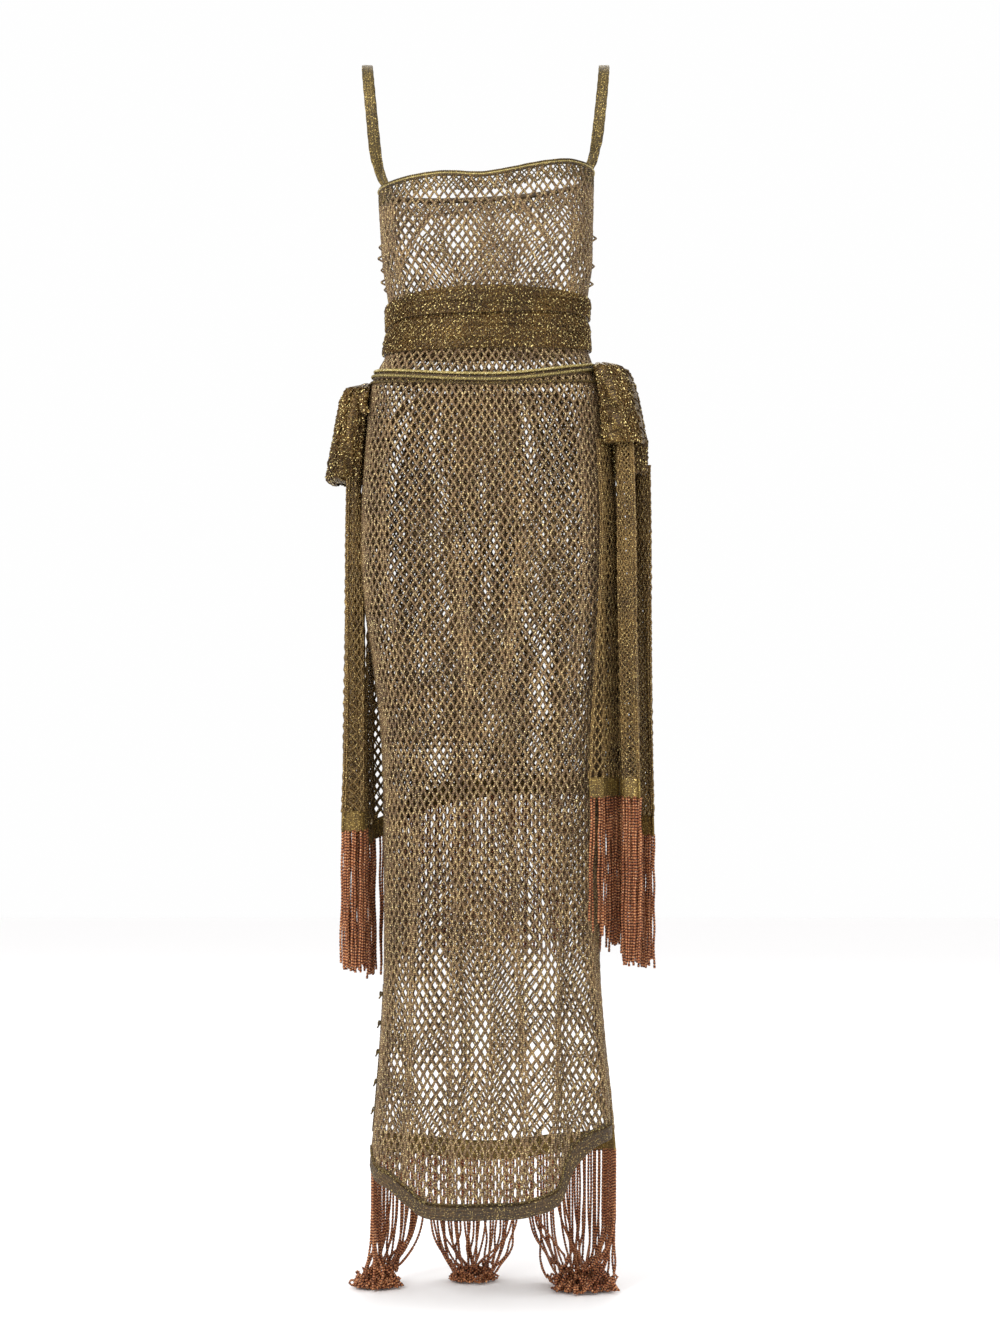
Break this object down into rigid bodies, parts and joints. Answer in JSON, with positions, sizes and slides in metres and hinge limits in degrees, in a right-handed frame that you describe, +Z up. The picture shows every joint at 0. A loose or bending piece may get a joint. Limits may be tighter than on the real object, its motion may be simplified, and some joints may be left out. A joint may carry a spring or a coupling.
{
  "type": "lame net dress with fringed sash",
  "caption": "Long hollow dress of open diamond lame net with narrow straps, a folded sash knotted at both hips, rounded apron hem, side slits and copper fringe to the floor.",
  "frame": {"origin": "on the centreline between the shoulders, at the height of the strap tops, where the wearer holds the dress up", "axes": "+Z up, the front faces -Y, +X is the right side seen from the front"},
  "size_m": [0.3874, 0.2548, 1.4486],
  "materials": {
    "net": "open diamond net of twisted gold-brown lame cord, soft metallic glint",
    "sash": "folded gold lame net, dense and sparkling",
    "fall": "gold lame net in gathered layers",
    "band": "dense knitted olive-gold lame band",
    "piping": "light gold cord piping",
    "binding": "ridged dark olive knitted binding with a gold glint",
    "fringe": "twisted copper cord fringe"
  },
  "bodies": {
    "root": {"bodice_front": "net", "bodice_back": "net", "neck_binding": "binding", "strap_left": "band", "strap_right": "band", "sash_wrap_upper": "sash", "sash_wrap_lower": "sash", "hip_cord_upper": "piping", "hip_cord_lower": "piping", "skirt_front": "net", "front_hem_binding": "binding", "skirt_back": "net", "skirt_back_band": "band", "slit_tape_right": "binding", "slit_tape_left": "binding", "thread_knot_1": "binding", "thread_knot_2": "binding", "thread_knot_3": "binding", "thread_knot_4": "binding", "thread_knot_5": "binding", "knot_left_loop": "sash", "knot_left_tie": "sash", "knot_right_loop": "sash", "knot_right_lobe": "sash", "drape": "fall", "drape_band": "band", "drape_fringe": "fringe", "fall_left": "fall", "band_left": "band", "fringe_left": "fringe", "fall_right": "fall", "band_right": "band", "fringe_right": "fringe", "fall_right_outer": "fall", "band_right_outer": "band", "fringe_right_outer": "fringe", "hem_fringe": "fringe"}
  },
  "joints": []
}
